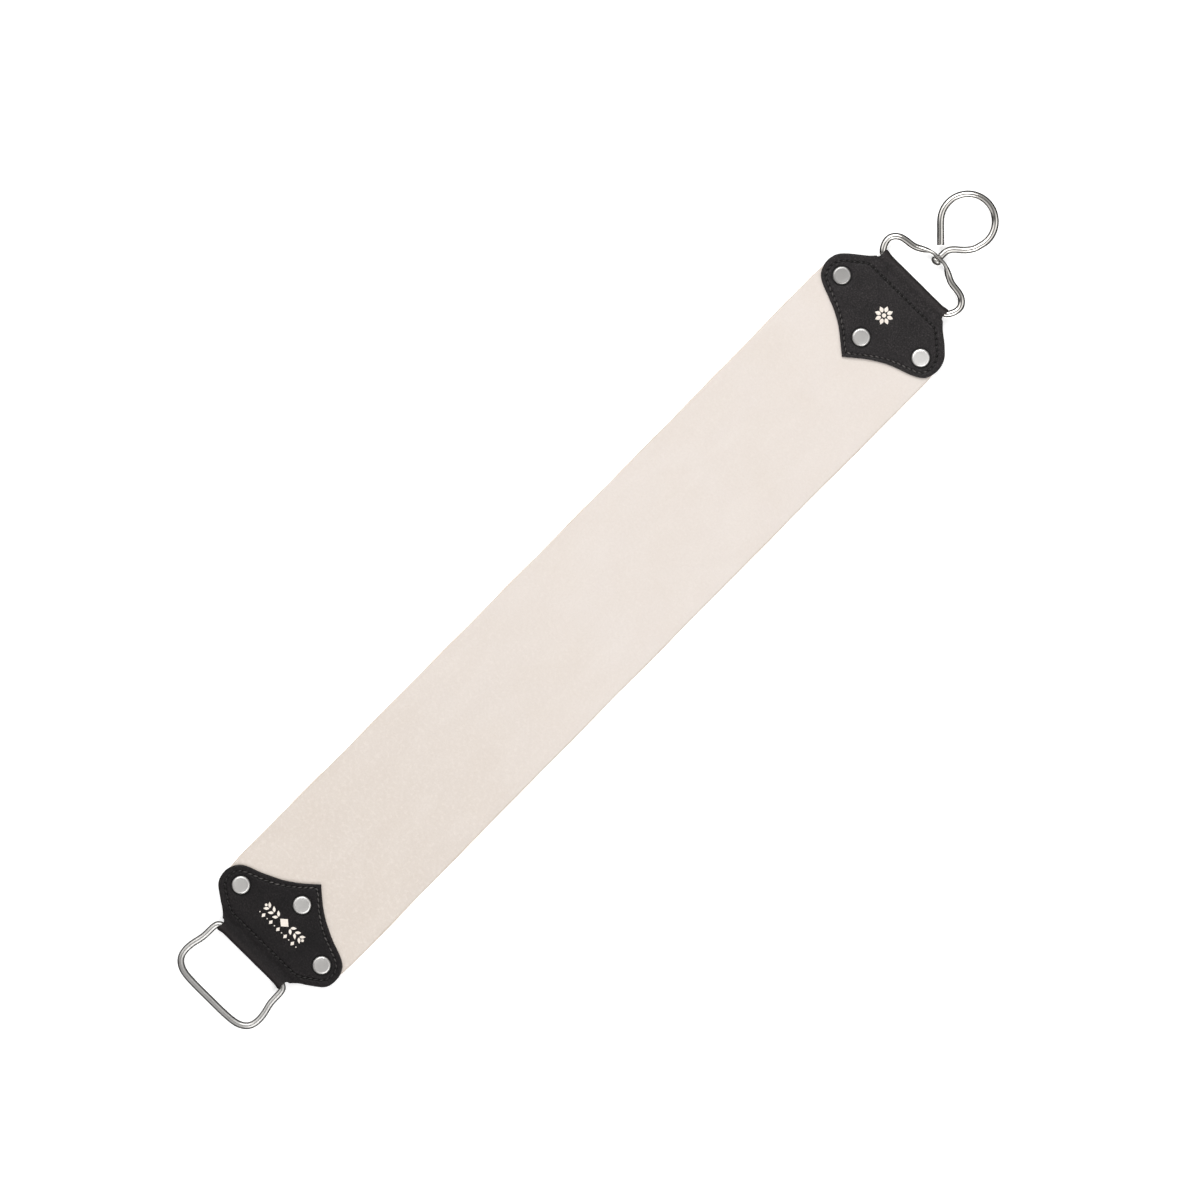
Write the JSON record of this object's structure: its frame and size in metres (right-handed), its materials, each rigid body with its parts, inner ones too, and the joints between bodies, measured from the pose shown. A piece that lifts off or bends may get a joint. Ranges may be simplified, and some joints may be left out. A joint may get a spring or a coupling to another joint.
{
  "type": "leather strop",
  "caption": "Flat leather honing strap riveted and stitched into folded leather end caps, with a wire handle ring at one end and a swivelling wall hook on a wire bail at the other.",
  "frame": {"origin": "centre of the strap's smooth upper face, which is the honing face", "axes": "+X across the strap, +Y along the strap from the handle ring towards the hook, +Z out of the honing face"},
  "size_m": [0.0658, 0.4709, 0.0076],
  "materials": {
    "strap_leather": "smooth undyed vegetable-tanned grain, honed flat",
    "cap_leather": "fine-grained dyed leather with burnished edges",
    "bright_nickel": "bright nickel-plated steel wire",
    "satin_nickel": "satin nickel-plated steel wire",
    "rivet_nickel": "satin nickel-plated caps with polished rims",
    "seam_thread": "waxed braided thread"
  },
  "bodies": {
    "strop": {"strap": "strap_leather", "top_cap": "cap_leather", "bottom_cap": "cap_leather", "top_left_rivet_front": "rivet_nickel", "top_left_rivet_back": "rivet_nickel", "top_right_rivet_front": "rivet_nickel", "top_right_rivet_back": "rivet_nickel", "top_centre_rivet_front": "rivet_nickel", "top_centre_rivet_back": "rivet_nickel", "bottom_left_rivet_front": "rivet_nickel", "bottom_left_rivet_back": "rivet_nickel", "bottom_right_rivet_front": "rivet_nickel", "bottom_right_rivet_back": "rivet_nickel", "bottom_centre_rivet_front": "rivet_nickel", "bottom_centre_rivet_back": "rivet_nickel", "top_cap_needle_thread": "seam_thread", "top_cap_bobbin_thread": "seam_thread", "bottom_cap_needle_thread": "seam_thread", "bottom_cap_bobbin_thread": "seam_thread"},
    "bail": {"hanging_bail": "bright_nickel"},
    "hook": {"swivel_hook": "bright_nickel"},
    "handle": {"handle_ring": "satin_nickel"}
  },
  "joints": [
    {"name": "bail_swing", "type": "hinge", "parent": "strop", "child": "bail", "pos_m": [0, 0.1978, -0.0015], "axis": [1, 0, 0], "range_deg": [-112, 112]},
    {"name": "hook_swivel", "type": "hinge", "parent": "bail", "child": "hook", "pos_m": [0, 0.2131, -0.0015], "axis": [0, 1, 0], "continuous": true},
    {"name": "handle_swing", "type": "hinge", "parent": "strop", "child": "handle", "pos_m": [0, -0.1978, -0.0015], "axis": [1, 0, 0], "range_deg": [-112, 112]}
  ]
}
